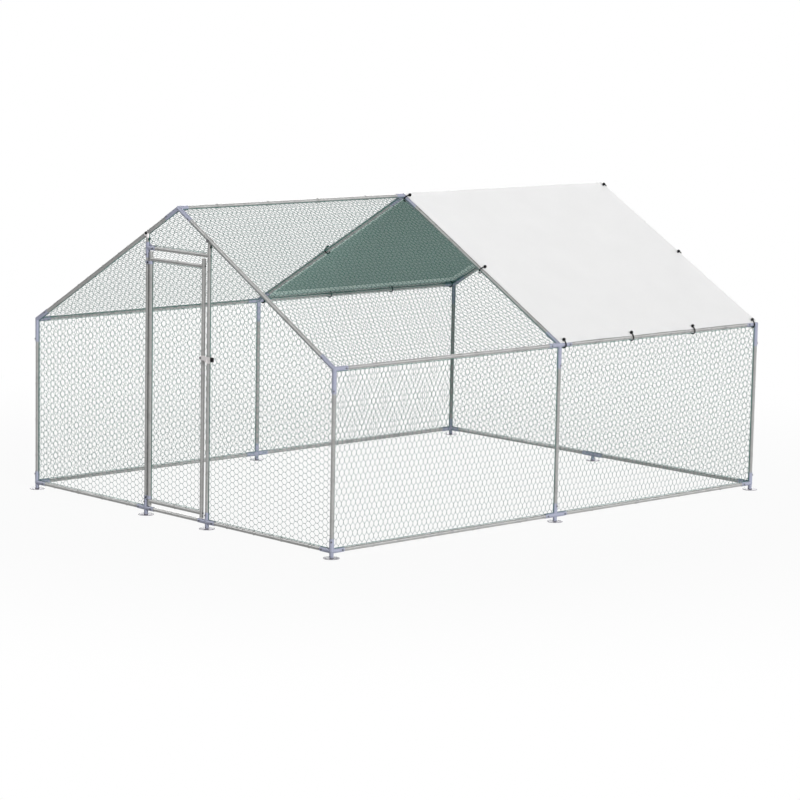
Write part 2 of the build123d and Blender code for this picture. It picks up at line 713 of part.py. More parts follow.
bar_length = latch_side_spacing + latch_bar_overrun
bar_plane = Plane(origin=pivot - back * bar_back, x_dir=right, z_dir=-back)
bar_flat = Rectangle(bar_length, latch_bar_width, align=(Align.MIN, Align.CENTER))
bar_hole = Circle(latch_pivot_diameter / 2 + latch_pivot_running_fit)
bar_outline = Circle(latch_bar_width / 2) + bar_flat - bar_hole
add("latch_bar", extrude(bar_plane * bar_outline, amount=latch_bar_thickness))
grip_middle = pivot + right * (bar_length + grip_end_wall - grip_length / 2)
grip_middle = grip_middle - back * (bar_back + latch_bar_thickness / 2)
grip_half = Vector(grip_length / 2, grip_thickness / 2, grip_height / 2)
grip = block(grip_middle - grip_half, grip_middle + grip_half)
slot_half = Vector(0, latch_bar_thickness / 2 + grip_fit, latch_bar_width / 2 + grip_fit)
slot_end = grip_middle + right * (grip_length / 2 - grip_end_wall + grip_fit)
grip = grip - block(grip_middle - right * grip_length - slot_half, slot_end + slot_half)
add("latch_grip", grip)

# Keeper: a ring on the right door post with a ledge under the bar and a lip in front of it
ledge_top = latch_height - latch_bar_width / 2 - latch_gap
post_axis = Vector(door_post_x, front_y, ledge_top)
lip_back = -(bar_back + latch_bar_thickness + keeper_lip_gap)
lip_front = lip_back - keeper_lip
half_keeper = keeper_width / 2
keeper = rod(post_axis - up * keeper_ring_height, post_axis, sleeve_radius)
hook_corner = post_axis + Vector(-half_keeper, lip_front, -keeper_ledge)
keeper = keeper + block(hook_corner, post_axis + right * half_keeper)
keeper = keeper + block(hook_corner, post_axis + Vector(half_keeper, lip_back, keeper_lip_rise))
keeper_bore = tube_radius + latch_grip_fit
keeper = keeper - rod(post_axis - up * (keeper_ring_height + 1), post_axis + up, keeper_bore)
add("latch_keeper", keeper)

# One file per node
os.makedirs("parts", exist_ok=True)
for name, solids in nodes.items():
    shape = solids[0] if len(solids) == 1 else Compound(solids)
    export_step(shape, f"parts/{name}.step", write_pcurves=False)
print(len(nodes), "nodes")
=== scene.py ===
"""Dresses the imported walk-in poultry run: galvanised tube, twisted wire netting and a coated roof sheet."""

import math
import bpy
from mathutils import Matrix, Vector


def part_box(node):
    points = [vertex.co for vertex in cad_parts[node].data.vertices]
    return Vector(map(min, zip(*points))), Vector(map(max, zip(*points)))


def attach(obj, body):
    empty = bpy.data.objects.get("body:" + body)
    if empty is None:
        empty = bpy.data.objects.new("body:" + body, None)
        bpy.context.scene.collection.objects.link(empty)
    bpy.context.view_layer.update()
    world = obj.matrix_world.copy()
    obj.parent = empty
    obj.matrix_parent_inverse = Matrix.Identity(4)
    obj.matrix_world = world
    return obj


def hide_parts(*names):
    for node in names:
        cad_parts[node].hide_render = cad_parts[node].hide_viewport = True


bl_info = {
    "name": "Walk-in Poultry Run",
    "version": (1, 0, 0),
    "blender": (4, 5, 0),
    "location": "View3D > Sidebar > Poultry Run",
    "description": "Dresses a packed poultry run with netting, a roof sheet, metal finishes and a studio",
    "category": "Object",
}

from collections import namedtuple

import bpy
from bpy.props import FloatProperty, FloatVectorProperty, IntProperty, PointerProperty
from mathutils import Matrix, Vector

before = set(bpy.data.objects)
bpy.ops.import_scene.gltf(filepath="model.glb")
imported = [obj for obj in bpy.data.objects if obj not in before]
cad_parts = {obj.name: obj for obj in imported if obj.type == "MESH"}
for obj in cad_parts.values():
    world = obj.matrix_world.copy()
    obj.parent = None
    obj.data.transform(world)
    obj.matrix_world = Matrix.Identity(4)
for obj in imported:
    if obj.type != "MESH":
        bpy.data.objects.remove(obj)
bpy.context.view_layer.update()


def middle(node):
    """The middle of a CAD node's box."""
    low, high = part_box(node)
    return (low + high) / 2


# Centre lines of the frame, read from the tubes
tube_radius = (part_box("right_rails")[1].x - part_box("right_rails")[0].x) / 2
half_width = middle("right_rails").x
rail_z = middle("right_rails").z
front_y = middle("front_posts").y
rear_y = middle("rear_posts").y
eave_z = middle("right_eave_tubes").z
ridge_z = middle("ridge_tubes").z
slope = math.atan2(ridge_z - eave_z, half_width)
slope_length = math.hypot(ridge_z - eave_z, half_width)
door_post_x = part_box("door_posts")[1].x - tube_radius
transom_z = middle("transom").z
net_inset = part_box("net_left_front")[0].z - rail_z

# Height over the floor below which a foot shows its plate, coloured darker as painted shade
PLATE_TOP = 0.0055

# Thickness of a wound pair of wires, as a share of its width
PAIR_FLATNESS = 0.6

# Creases of the sheet round each tie: their number, and how far out they are full and fade, in metres
CREASES = 9
CREASE_START = 0.03
CREASE_REACH = 0.11

# How far a tie holds the sheet's edge out, and how far the drawn-in edge reaches into the sheet, in metres
TIE_REACH = 0.2
EDGE_REACH = 0.15

# Decimals of a metre to which two corners of a solid agree when they are one place
SAME_PLACE_DIGITS = 6

# Stage distances, in metres
FLOOR_SIZE = 600
FLOOR_GAP = 0.0005
SHADOW_NEAR = 2.5
SHADOW_FAR = 6.0
LAMP_DISTANCE = 12

WHITE = (1.0, 1.0, 1.0, 1.0)

# CAD nodes that keep their shape and get a finish
TUBE_NODES = (
    "front_posts", "mid_posts", "rear_posts", "front_rafters", "mid_rafters", "rear_rafters",
    "ridge_tubes", "left_eave_tubes", "right_eave_tubes", "left_rails", "right_rails", "front_rails",
    "rear_rails", "door_sill", "door_posts", "transom",
)
DOOR_TUBE_NODES = ("door_left_stile", "door_right_stile", "door_top_rail", "door_bottom_rail")
FOOT_NODES = ("corner_feet", "side_feet", "rear_foot", "door_feet")
CONNECTOR_NODES = ("eave_corners", "eave_tees", "ridge_ends", "ridge_cross", "transom_joints")
HINGE_NODES = ("upper_hinge_strap", "lower_hinge_strap")
PALE_NODES = ("latch_collar", "latch_bar", "latch_keeper")

# How the flat sheet lies on the roof: height over the ridge's centre line, length down each slope, width
# of the bend over the ridge, length along the ridge and place of the front edge
SheetPlan = namedtuple("SheetPlan", "offset reach fold length front_edge")

# Places in the sheet's list of materials, each of an upper face with its lower face next
MIDDLE_MATERIAL = 0
HEM_MATERIAL = 2


class Signal:
    """An output of a shader node that takes part in sums like a number."""

    def __init__(self, finish, socket):
        self.finish = finish
        self.socket = socket

    def join(self, operation, first, second):
        """A Math node on two values."""
        return self.finish.node("ShaderNodeMath", {"operation": operation}, {0: first, 1: second})

    def __add__(self, other):
        return self.join("ADD", self, other)

    def __radd__(self, other):
        return self.join("ADD", other, self)

    def __sub__(self, other):
        return self.join("SUBTRACT", self, other)

    def __rsub__(self, other):
        return self.join("SUBTRACT", other, self)

    def __mul__(self, other):
        return self.join("MULTIPLY", self, other)

    def __rmul__(self, other):
        return self.join("MULTIPLY", other, self)

    def __gt__(self, other):
        return self.join("GREATER_THAN", self, other)

    def __lt__(self, other):
        return self.join("LESS_THAN", self, other)


class Finish:
    """A node tree of a material or a world, and the one way to add nodes to it."""

    def __init__(self, owner):
        owner.use_nodes = True
        self.owner = owner
        self.tree = owner.node_tree

    def node(self, kind, settings=None, inputs=None, output=0):
        """Add a node, make its settings, feed its sockets and return one of its outputs."""
        made = self.tree.nodes.new(kind)
        for name, value in (settings or {}).items():
            setattr(made, name, value)
        for name, value in (inputs or {}).items():
            self.feed(made.inputs[name], value)
        return Signal(self, made.outputs[output])

    def feed(self, socket, value):
        """Link a signal to a socket, or set the socket to a plain value."""
        if isinstance(value, Signal):
            self.tree.links.new(value.socket, socket)
        else:
            socket.default_value = value

    def shader(self, **values):
        """Feed sockets of the Principled shader, named in lower case with underscores."""
        sockets = self.tree.nodes["Principled BSDF"].inputs
        for name, value in values.items():
            self.feed(sockets[name.replace("_", " ").title().replace("Ior", "IOR")], value)
        return self.owner

    def place(self):
        """The piece's own coordinates, in metres."""
        return self.node("ShaderNodeTexCoord", output="Object")

    def noise(self, place, scale, detail):
        """A soft cloud from 0 to 1."""
        return self.node("ShaderNodeTexNoise", None, {"Vector": place, "Scale": scale, "Detail": detail})

    def cells(self, place, scale):
        """A different value from 0 to 1 in each crystal-like cell."""
        colour = self.node("ShaderNodeTexVoronoi", None, {"Vector": place, "Scale": scale}, "Color")
        return self.node("ShaderNodeSeparateColor", None, {"Color": colour})

    def bands(self, place, axis, scale):
        """Parallel waves along one axis, from 0 to 1."""
        waves = self.node("ShaderNodeTexWave", {"bands_direction": axis}, {"Vector": place, "Scale": scale})
        return self.node("ShaderNodeSeparateColor", None, {"Color": waves})

    def blend(self, factor, first, second):
        """A colour between two colours."""
        sockets = {"Factor": factor, "A": first, "B": second}
        return self.node("ShaderNodeMix", {"data_type": "RGBA"}, sockets, "Result")

    def mottle(self, factor, colour, shades):
        """A colour that runs from a darker to a paler shade of itself."""
        darker, paler = (opaque(shade(colour, share)) for share in shades)
        return self.blend(factor, darker, paler)

    def bump(self, height, strength, distance):
        """A normal that follows a height."""
        sockets = {"Height": height, "Strength": strength, "Distance": distance}
        return self.node("ShaderNodeBump", None, sockets)


def opaque(colour):
    """A colour with its alpha."""
    return (*colour, 1.0)


def shade(colour, share):
    """A colour made darker or lighter by one share."""
    return tuple(min(1.0, part * share) for part in colour)


def galvanised(name, colour, cell_scale, metallic, rough, beyond=None):
    """Zinc-coated steel: faint crystals, a cloudy tone and a little grain.

    An axis, a place on it and a colour in beyond give the steel that colour past that place.
    """
    shades = (0.82, 1.16)
    crystal_share = 0.35
    crystal_relief = 0.4
    rough_range = 0.22
    finish = Finish(bpy.data.materials.new(name))
    place = finish.place()
    crystals = finish.cells(place, cell_scale)
    cloud = finish.noise(place, scale=9.0, detail=5.0)
    grain = finish.noise(place, scale=900.0, detail=2.0)
    tone = crystals * crystal_share + cloud * (1 - crystal_share)
    base = finish.mottle(tone, colour, shades)
    if beyond:
        axis, limit, other = beyond
        past = finish.node("ShaderNodeSeparateXYZ", None, {0: place}, axis) > limit
        base = finish.blend(past, base, finish.mottle(tone, other, shades))
    normal = finish.bump(grain + crystals * crystal_relief, strength=0.12, distance=0.0004)
    return finish.shader(base_color=base, metallic=metallic, roughness=cloud * rough_range + rough,
                         normal=normal, specular_ior_level=0.15)


def black_finish(name, colour, rough, grain_scale, grain_depth):
    """Black plastic, rubber or blacked steel: a fine grain and dull, slightly paler patches."""
    rough_range = 0.25
    finish = Finish(bpy.data.materials.new(name))
    place = finish.place()
    cloud = finish.noise(place, scale=60.0, detail=4.0)
    grain = finish.noise(place, scale=grain_scale, detail=2.0)
    base = finish.mottle(cloud, colour, shades=(0.7, 1.7))
    normal = finish.bump(grain, strength=0.3, distance=grain_depth)
    return finish.shader(base_color=base, roughness=cloud * rough_range + rough, normal=normal,
                         specular_ior_level=0.08)


def woven_sheet(name, colour, thread_pitch):
    """Coated tape cloth: crossing flat threads, faint handling marks and a low sheen."""
    # A wave texture at scale 1 has this many bands in a length of pi
    bands_in_pi = 10.0
    mark_share = 0.7
    rough = 0.45
    rough_range = 0.15
    finish = Finish(bpy.data.materials.new(name))
    flat = finish.node("ShaderNodeUVMap", {"uv_map": "flat"})
    scale = math.pi / thread_pitch / bands_in_pi
    warp, weft = (finish.bands(flat, axis, scale) for axis in "XY")
    marks = finish.noise(flat, scale=3.5, detail=6.0)
    tone = marks * mark_share + warp * weft * (1 - mark_share)
    base = finish.mottle(tone, colour, shades=(0.95, 1.05))
    normal = finish.bump(warp + weft, strength=0.25, distance=0.0003)
    return finish.shader(base_color=base, roughness=marks * rough_range + rough, normal=normal,
                         specular_ior_level=0.2)


def dress(material, *nodes):
    """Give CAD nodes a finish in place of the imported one."""
    for name in nodes:
        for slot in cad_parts[name].material_slots:
            slot.material = material


def only(piece):
    """Select one object alone and make it the active one."""
    bpy.ops.object.select_all(action="DESELECT")
    piece.select_set(True)
    bpy.context.view_layer.objects.active = piece


def apply_modifiers(piece):
    """Turn every modifier of a piece into mesh."""
    only(piece)
    for modifier in list(piece.modifiers):
        bpy.ops.object.modifier_apply(modifier=modifier.name)


def settle(piece):
    """Put a piece's place into its mesh, so that its object sits at the origin."""
    only(piece)
    bpy.ops.object.transform_apply(location=True, rotation=True, scale=True)


def join(pieces, name):
    """Join pieces into one object with a name."""
    bpy.ops.object.select_all(action="DESELECT")
    for piece in pieces:
        piece.select_set(True)
    bpy.context.view_layer.objects.active = pieces[0]
    bpy.ops.object.join()
    pieces[0].name = name
    pieces[0].data.name = name
    return pieces[0]


def copy_of(piece, name):
    """A copy of a piece with its own mesh."""
    copied = piece.copy()
    copied.data = piece.data.copy()
    copied.name = name
    copied.data.name = name
    bpy.context.scene.collection.objects.link(copied)
    return copied


def strand(start, end, radius, sides):
    """A straight wire between two points."""
    run = end - start
    bpy.ops.object.select_all(action="DESELECT")
    bpy.ops.mesh.primitive_cylinder_add(
        vertices=sides, radius=radius, depth=run.length, end_fill_type="NGON",
        location=(start + end) / 2, rotation=run.to_track_quat("Z", "Y").to_euler())
    wire = bpy.context.active_object
    settle(wire)
    return wire


def twisted_pair(length, wire_radius, rings):
    """Two wires wound round each other, as one flat rod along Z with a full twist."""
    bpy.ops.object.select_all(action="DESELECT")
    bpy.ops.mesh.primitive_cylinder_add(
        vertices=4, radius=wire_radius * 2, depth=length, end_fill_type="NGON", rotation=(0, 0, 0))
    pair = bpy.context.active_object
    pair.scale = (1.0, PAIR_FLATNESS, 1.0)
    settle(pair)
    bpy.ops.object.mode_set(mode="EDIT")
    for ring in range(1, rings):
        bpy.ops.mesh.select_all(action="SELECT")
        height = length * (ring / rings - 0.5)
        bpy.ops.mesh.bisect(plane_co=(0, 0, height), plane_no=(0, 0, 1))
    bpy.ops.object.mode_set(mode="OBJECT")
    wind = pair.modifiers.new("wind", "SIMPLE_DEFORM")
    wind.deform_method = "TWIST"
    wind.deform_axis = "Z"
    wind.angle = 2 * math.pi
    apply_modifiers(pair)
    return pair


def inset_outline(points, distance):
    """Move each edge of a counter-clockwise outline inwards."""
    lines = []
    for (x1, y1), (x2, y2) in zip(points, points[1:] + points[:1]):
        length = math.hypot(x2 - x1, y2 - y1)
        across = ((y1 - y2) / length, (x2 - x1) / length)
        lines.append((*across, across[0] * x1 + across[1] * y1 + distance))
    corners = []
    for (a1, b1, c1), (a2, b2, c2) in zip(lines[-1:] + lines[:-1], lines):
        spread = a1 * b2 - a2 * b1
        corners.append(((c1 * b2 - c2 * b1) / spread, (a1 * c2 - a2 * c1) / spread))
    return corners


def rafter_z(x):
    """The height of a rafter's centre line at a place across the frame."""
    return ridge_z - abs(x) * math.tan(slope)


def net_panels():
    """Each panel's node, body, outline corners, twist direction and inset from those corners."""
    panels = []
    for side_name, side in (("left", -1), ("right", 1)):
        x = side * half_width
        for bay, start, end in (("front", front_y, 0.0), ("rear", 0.0, rear_y)):
            wall = [(x, start, rail_z), (x, end, rail_z), (x, end, eave_z), (x, start, eave_z)]
            roof = [(x, start, eave_z), (x, end, eave_z), (0, end, ridge_z), (0, start, ridge_z)]
            panels.append((f"net_{side_name}_{bay}", "frame", wall, False, net_inset))
            panels.append((f"net_roof_{side_name}_{bay}", "frame", roof, False, net_inset))
        post = side * door_post_x
        front = [(x, front_y, rail_z), (post, front_y, rail_z),
                 (post, front_y, rafter_z(post)), (x, front_y, eave_z)]
        if side > 0:
            # Counter-clockwise from outside, as on the left
            front = [front[1], front[0], front[3], front[2]]
        panels.append((f"net_front_{side_name}", "frame", front, True, net_inset))
    rear = [(-half_width, rear_y, rail_z), (half_width, rear_y, rail_z), (half_width, rear_y, eave_z),
            (0, rear_y, ridge_z), (-half_width, rear_y, eave_z)]
    panels.append(("net_rear", "frame", rear, True, net_inset))
    top = [(-door_post_x, front_y, transom_z), (door_post_x, front_y, transom_z),
           (door_post_x, front_y, rafter_z(door_post_x)), (0, front_y, ridge_z),
           (-door_post_x, front_y, rafter_z(door_post_x))]
    panels.append(("net_front_top", "frame", top, True, net_inset))
    low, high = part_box("net_door")
    door = [(low.x, front_y, low.z), (high.x, front_y, low.z),
            (high.x, front_y, high.z), (low.x, front_y, high.z)]
    panels.append(("net_door", "door", door, True, 0.0))
    return panels


class NettingSettings(bpy.types.PropertyGroup):
    """Sizes and colour of the hexagonal wire netting."""

    pitch: FloatProperty(name="Mesh width", description="From one twist to the next beside it",
                         default=0.0383, unit="LENGTH")
    row: FloatProperty(name="Row pitch", description="From one staggered row of twists to the next",
                       default=0.0375, unit="LENGTH")
    twist: FloatProperty(name="Twist length", description="Length of the wound stretch of two wires",
                         default=0.020, unit="LENGTH")
    wire: FloatProperty(name="Wire diameter", description="Diameter of one netting wire",
                        default=0.00235, unit="LENGTH")
    selvage: FloatProperty(name="Edge wire", description="Diameter of the wire round each panel",
                           default=0.0036, unit="LENGTH")
    rings: IntProperty(name="Twist rings", description="Steps along one wound stretch", default=3)
    colour: FloatVectorProperty(name="Colour", description="Colour of the wire", subtype="COLOR",
                                default=(0.035, 0.155, 0.13))


class CoverSettings(bpy.types.PropertyGroup):
    """Sizes and colours of the roof sheet."""

    thickness: FloatProperty(name="Thickness", description="Thickness of the sheet", default=0.0006,
                             unit="LENGTH")
    hem: FloatProperty(name="Hem", description="Width of the folded edge", default=0.095, unit="LENGTH")
    sag: FloatProperty(name="Sag", description="How far the sheet hangs between the tubes",
                       default=0.007, unit="LENGTH")
    scallop: FloatProperty(name="Scallop", description="How far the edge draws in between two ties",
                           default=0.006, unit="LENGTH")
    pucker: FloatProperty(name="Pucker", description="Height of the creases round a tie",
                          default=0.0022, unit="LENGTH")
    grid: FloatProperty(name="Mesh step", description="Distance between the sheet's points",
                        default=0.024, unit="LENGTH")
    thread: FloatProperty(name="Thread", description="Width of one woven tape", default=0.0024,
                          unit="LENGTH")
    top: FloatVectorProperty(name="Top", description="Upper face", subtype="COLOR",
                             default=(0.81, 0.81, 0.81))
    under: FloatVectorProperty(name="Underside", description="Lower face", subtype="COLOR",
                               default=(0.28, 0.38, 0.345))
    # The hem's lower face is paler partly for the doubled hem and partly as painted light at the sheet's edge
    under_hem_painted_light: FloatVectorProperty(name="Hem underside", description="Lower face of the hem",
                                   subtype="COLOR", default=(0.62, 0.74, 0.70))


class TieSettings(bpy.types.PropertyGroup):
    """Sizes of the ball ties, taken round a tube's centre line."""

    cord: FloatProperty(name="Cord diameter", description="Diameter of the elastic cord", default=0.008,
                        unit="LENGTH")
    turn: FloatProperty(name="Turn radius", description="Radius of the cord round the tube and the sheet",
                        default=0.02144, unit="LENGTH")
    ball_inset: FloatProperty(name="Ball inset", description="From the tube's centre line into the sheet",
                              default=0.016, unit="LENGTH")
    ball_height: FloatProperty(name="Ball height", description="From the tube's centre line out of the roof",
                               default=0.0285, unit="LENGTH")
    hold: FloatProperty(name="Hold", description="From the ball's centre to the cord's end inside the ball",
                        default=0.0085, unit="LENGTH")
    corners: IntProperty(name="Corners", description="Corners of the route round the tube", default=6)


class MetalSettings(bpy.types.PropertyGroup):
    """Colours of the tubes, the connectors and the small parts."""

    tube: FloatVectorProperty(name="Tube", description="Galvanised tube", subtype="COLOR",
                              default=(0.31, 0.31, 0.305))
    connector: FloatVectorProperty(name="Connector", description="Zinc-plated connector", subtype="COLOR",
                                   default=(0.30, 0.315, 0.40))
    # The foot plate's darker colour is painted shade, standing in for less light on the plate
    plate: FloatVectorProperty(name="Foot plate", description="Dull plate under a post", subtype="COLOR",
                               default=(0.20, 0.19, 0.22))
    # On the rafter clamps this pale colour is partly a painted highlight
    pale: FloatVectorProperty(name="Pale steel", description="Latch plate and rafter clamps", subtype="COLOR",
                              default=(0.74, 0.71, 0.71))
    bolt: FloatVectorProperty(name="Bolt", description="Dull set bolt", subtype="COLOR",
                              default=(0.12, 0.12, 0.13))
    eyelet: FloatVectorProperty(name="Eyelet", description="Pressed eyelet", subtype="COLOR",
                                default=(0.62, 0.63, 0.64))
    black: FloatVectorProperty(name="Black", description="Balls, loops, grip and blacked bolts",
                               subtype="COLOR", default=(0.007, 0.007, 0.0075))


class StageSettings(bpy.types.PropertyGroup):
    """The camera, the lamps and the floor."""

    eye: FloatVectorProperty(name="Camera place", description="Where the camera stands",
                             subtype="TRANSLATION", default=(14.4666, -13.6715, 3.5760))
    azimuth: FloatProperty(name="Azimuth", description="Turn of the camera from the front to the right",
                           default=math.radians(46.6124), subtype="ANGLE")
    elevation: FloatProperty(name="Elevation", description="How far the camera looks down",
                             default=math.radians(8.4798), subtype="ANGLE")
    roll: FloatProperty(name="Roll", description="Tilt of the picture", default=math.radians(1.1309),
                        subtype="ANGLE")
    lens: FloatProperty(name="Lens", description="Focal length on a 36 mm sensor", default=134.457)
    ambient: FloatProperty(name="Ambient", description="Strength of the light from all round", default=0.06)
    key: FloatProperty(name="Key light", description="Light on a white face turned to the key", default=1.0)
    key_azimuth: FloatProperty(name="Key azimuth", description="Turn of the key from the front to the right",
                               default=math.radians(76), subtype="ANGLE")
    key_elevation: FloatProperty(name="Key elevation", description="Height of the key over the floor",
                                 default=math.radians(20), subtype="ANGLE")
    key_spread: FloatProperty(name="Key spread", description="Width of the key in the sky",
                              default=math.radians(20), subtype="ANGLE")
    fill: FloatProperty(name="Fill light", description="Light on a white face turned to the fill",
                        default=0.70)
    fill_azimuth: FloatProperty(name="Fill azimuth",
                                description="Turn of the fill from the front to the right",
                                default=math.radians(228), subtype="ANGLE")
    fill_elevation: FloatProperty(name="Fill elevation", description="Height of the fill over the floor",
                                  default=math.radians(20), subtype="ANGLE")
    fill_spread: FloatProperty(name="Fill spread", description="Width of the fill in the sky",
                               default=math.radians(40), subtype="ANGLE")
    left: FloatProperty(name="Left strip light", description="Light that glints on tubes across the run",
                        default=1.2)
    left_azimuth: FloatProperty(name="Left strip azimuth",
                                description="Turn of the left strip from the front to the right",
                                default=math.radians(-49), subtype="ANGLE")
    left_elevation: FloatProperty(name="Left strip elevation", description="Height of the left strip",
                                  default=math.radians(40), subtype="ANGLE")
    left_spread: FloatProperty(name="Left strip spread", description="Width of the left strip in the sky",
                               default=math.radians(50), subtype="ANGLE")
    right: FloatProperty(name="Right strip light", description="Light that glints on tubes along the run",
                         default=0.3)
    right_azimuth: FloatProperty(name="Right strip azimuth",
                                 description="Turn of the right strip from the front to the right",
                                 default=math.radians(136), subtype="ANGLE")
    right_elevation: FloatProperty(name="Right strip elevation", description="Height of the right strip",
                                   default=math.radians(19), subtype="ANGLE")
    right_spread: FloatProperty(name="Right strip spread", description="Width of the right strip in the sky",
                                default=math.radians(14), subtype="ANGLE")
    top: FloatProperty(name="Top light", description="Light on a white face turned up", default=0.10)
    top_spread: FloatProperty(name="Top spread", description="Width of the top light in the sky",
                              default=math.radians(80), subtype="ANGLE")
    floor: FloatVectorProperty(name="Floor", description="Colour of the floor", subtype="COLOR",
                               default=(0.55, 0.55, 0.55))
    floor_glow: FloatProperty(name="Floor glow", description="Light that the floor sends up", default=0.85)
    shadow: FloatProperty(name="Shadow", description="Share of the floor's shade that shows near the run",
                          default=0.06, subtype="FACTOR")


class RunSettings(bpy.types.PropertyGroup):
    """Everything that a user would change on the run."""

    netting: PointerProperty(type=NettingSettings)
    cover: PointerProperty(type=CoverSettings)
    ties: PointerProperty(type=TieSettings)
    metal: PointerProperty(type=MetalSettings)
    stage: PointerProperty(type=StageSettings)


class RUN_OT_tubes(bpy.types.Operator):
    """Finish the tubes of the frame and the door"""

    bl_idname = "run.tubes"
    bl_label = "Tubes"

    def execute(self, context):
        metal = context.scene.run_settings.metal
        zinc = galvanised("galvanised_tube", metal.tube, cell_scale=70.0, metallic=0.14, rough=0.18)
        dress(zinc, *TUBE_NODES, *DOOR_TUBE_NODES)
        return {"FINISHED"}


class RUN_OT_connectors(bpy.types.Operator):
    """Finish the connectors, the hinge straps, the latch and the bolts"""

    bl_idname = "run.connectors"
    bl_label = "Connectors and bolts"

    def execute(self, context):
        metal = context.scene.run_settings.metal
        plating = {"cell_scale": 160.0, "metallic": 0.08, "rough": 0.36}
        dress(galvanised("plated_connector", metal.connector, **plating), *CONNECTOR_NODES, *HINGE_NODES)
        # Below PLATE_TOP the foot takes the plate's darker colour, which is painted shade
        sleeves = ("Z", PLATE_TOP, metal.connector)
        dress(galvanised("plated_foot_painted_shade", metal.plate, **plating, beyond=sleeves), *FOOT_NODES)
        pressing = {"cell_scale": 200.0, "metallic": 0.1, "rough": 0.34}
        dress(galvanised("pale_steel", metal.pale, **pressing), *PALE_NODES)
        # The left rafter clamp is pale, partly a painted highlight, and the right one keeps the tube's grey
        right_half = ("X", 0.0, metal.tube)
        dress(galvanised("clamp_steel", metal.pale, **pressing, beyond=right_half), "rafter_clamps")
        bolt = galvanised("plated_bolt", metal.bolt, cell_scale=400.0, metallic=0.7, rough=0.28)
        dress(bolt, "connector_bolts", "latch_pivot_bolt")
        blacked = black_finish("blacked_bolt", metal.black, rough=0.35, grain_scale=700.0, grain_depth=0.0002)
        dress(blacked, "dark_bolts", "door_bolts")
        plug = black_finish("rail_plug", metal.black, rough=0.55, grain_scale=500.0, grain_depth=0.0003)
        dress(plug, "door_rail_plugs")
        grip = black_finish("latch_grip", metal.black, rough=0.5, grain_scale=450.0, grain_depth=0.0005)
        dress(grip, "latch_grip")
        return {"FINISHED"}


class RUN_OT_netting(bpy.types.Operator):
    """Weave the netting panels and finish the ties that lace them"""

    bl_idname = "run.netting"
    bl_label = "Netting"

    def execute(self, context):
        sizes = context.scene.run_settings.netting
        wire = galvanised("netting_wire", sizes.colour, cell_scale=300.0, metallic=0.05, rough=0.5)
        unit = self.unit(sizes)
        for node, body, corners, twist_along_x, inset in net_panels():
            panel = self.panel(unit, sizes, node, corners, twist_along_x, inset)
            panel.data.materials.clear()
            panel.data.materials.append(wire)
            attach(panel, body)
            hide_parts(node)
        bpy.data.objects.remove(unit)
        zinc = context.scene.run_settings.metal.tube
        ties = galvanised("tie_wire", zinc, cell_scale=300.0, metallic=0.1, rough=0.4)
        dress(ties, "net_ties", "door_net_ties")
        return {"FINISHED"}

    def unit(self, sizes):
        """Two staggered meshes in the XY plane with their twists along Y, which repeat both ways."""
        half_twist = sizes.twist / 2
        radius = sizes.wire / 2
        wires = []
        for row, start_x in ((0, 0.0), (1, sizes.pitch / 2)):
            pair = twisted_pair(sizes.twist, radius, sizes.rings)
            pair.rotation_euler = (math.pi / 2, 0, 0)
            pair.location = (start_x, row * sizes.row, 0)
            settle(pair)
            wires.append(pair)
            foot = Vector((start_x, row * sizes.row + half_twist, 0))
            for side in (-1, 1):
                head = Vector((start_x + side * sizes.pitch / 2, (row + 1) * sizes.row - half_twist, 0))
                wires.append(strand(foot, head, radius, sides=3))
        return join(wires, "netting_unit")

    def panel(self, unit, sizes, node, corners, twist_along_x, inset):
        """One panel: the unit repeated, trimmed to its outline, edged with a wire and put in place."""
        points = [Vector(corner) for corner in corners]
        along = (points[1] - points[0]).normalized()
        normal = along.cross(points[-1] - points[0]).normalized()
        rise = normal.cross(along)
        local = [((p - points[0]).dot(along), (p - points[0]).dot(rise)) for p in points]
        outline = inset_outline(local, inset)
        low = Vector((min(x for x, y in outline), min(y for x, y in outline), 0))
        high = Vector((max(x for x, y in outline), max(y for x, y in outline), 0))
        size = high - low
        panel = copy_of(unit, node.replace("net_", "netting_"))
        across, lengthwise = (size.y, size.x) if twist_along_x else (size.x, size.y)
        spare_units = 2
        for step, reach in (((sizes.pitch, 0, 0), across), ((0, 2 * sizes.row, 0), lengthwise)):
            array = panel.modifiers.new("repeat", "ARRAY")
            array.use_relative_offset = False
            array.use_constant_offset = True
            array.constant_offset_displace = step
            array.count = math.ceil(reach / max(step)) + spare_units
        apply_modifiers(panel)
        start = Vector((-sizes.pitch, -2 * sizes.row, 0))
        panel.location = low + start
        if twist_along_x:
            panel.rotation_euler = (0, 0, -math.pi / 2)
            panel.location = Vector((low.x + start.y, high.y - start.x, 0))
        settle(panel)
        self.trim(panel, outline)
        edge = [Vector((x, y, 0)) for x, y in outline]
        sides = [strand(a, b, sizes.selvage / 2, sides=6) for a, b in zip(edge, edge[1:] + edge[:1])]
        panel = join([panel, *sides], panel.name)
        turn = Matrix((along, rise, normal)).transposed().to_4x4()
        panel.matrix_world = Matrix.Translation(points[0]) @ turn
        settle(panel)
        bpy.ops.object.shade_smooth()
        return panel

    def trim(self, panel, outline):
        """Cut off what lies outside an outline and close the ends of the cut wires."""
        only(panel)
        bpy.ops.object.mode_set(mode="EDIT")
        for (x1, y1), (x2, y2) in zip(outline, outline[1:] + outline[:1]):
            bpy.ops.mesh.select_all(action="SELECT")
            outward = Vector((y2 - y1, x1 - x2, 0)).normalized()
            bpy.ops.mesh.bisect(plane_co=(x1, y1, 0), plane_no=outward, clear_outer=True)
        bpy.ops.mesh.select_mode(type="EDGE")
        bpy.ops.mesh.select_all(action="DESELECT")
        bpy.ops.mesh.select_non_manifold(use_wire=False, use_multi_face=False, use_non_contiguous=False,
                                         use_verts=False)
        bpy.ops.mesh.fill_holes(sides=8)
        bpy.ops.object.mode_set(mode="OBJECT")


